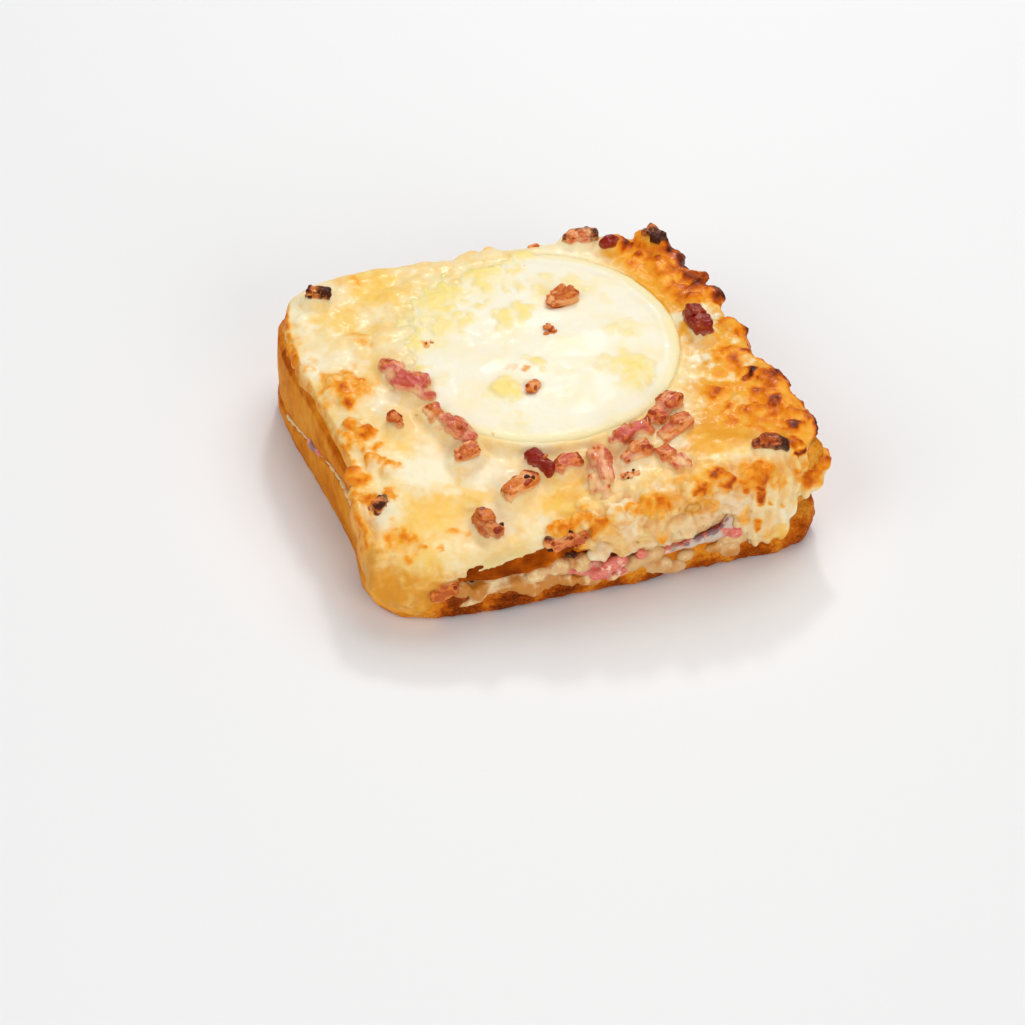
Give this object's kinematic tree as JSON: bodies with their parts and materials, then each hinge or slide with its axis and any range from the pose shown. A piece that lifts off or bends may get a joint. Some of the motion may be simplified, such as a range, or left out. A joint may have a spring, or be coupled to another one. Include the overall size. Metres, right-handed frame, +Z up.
{
  "type": "croque monsieur",
  "caption": "Toasted ham and cheese sandwich of two bread slices, with ham and sauce between, a browned gratin top, a goat's cheese round and bacon lardons.",
  "frame": {"origin": "centre of the sandwich's outline, on the plane it rests on", "axes": "+X to the right along the front edge, +Y towards the back, +Z up"},
  "size_m": [0.1268, 0.1112, 0.0359],
  "materials": {
    "crust": "toasted bread crust, satin",
    "ham": "moist cooked ham",
    "sauce": "melted cheese sauce, slightly glossy",
    "gratin": "melted cheese, browned in patches, slightly glossy",
    "goat_cheese": "warm goat's cheese, satin",
    "lardon": "fried bacon, slightly glossy"
  },
  "bodies": {
    "root": {"bread_slice_bottom": "crust", "ham_slice": "ham", "cheese_sauce": "sauce", "bread_slice_top": "crust", "gratin_topping": "gratin", "goat_cheese_round": "goat_cheese", "lardon_01": "lardon", "lardon_02": "lardon", "lardon_03": "lardon", "lardon_04": "lardon", "lardon_05": "lardon", "lardon_06": "lardon", "lardon_07": "lardon", "lardon_08": "lardon", "lardon_09": "lardon", "lardon_10": "lardon", "lardon_11": "lardon", "lardon_12": "lardon", "lardon_13": "lardon", "lardon_14": "lardon", "lardon_15": "lardon", "lardon_16": "lardon", "lardon_17": "lardon", "lardon_18": "lardon", "lardon_19": "lardon", "lardon_20": "lardon", "lardon_21": "lardon", "lardon_22": "lardon", "lardon_23": "lardon", "lardon_24": "lardon", "lardon_25": "lardon"}
  },
  "joints": []
}
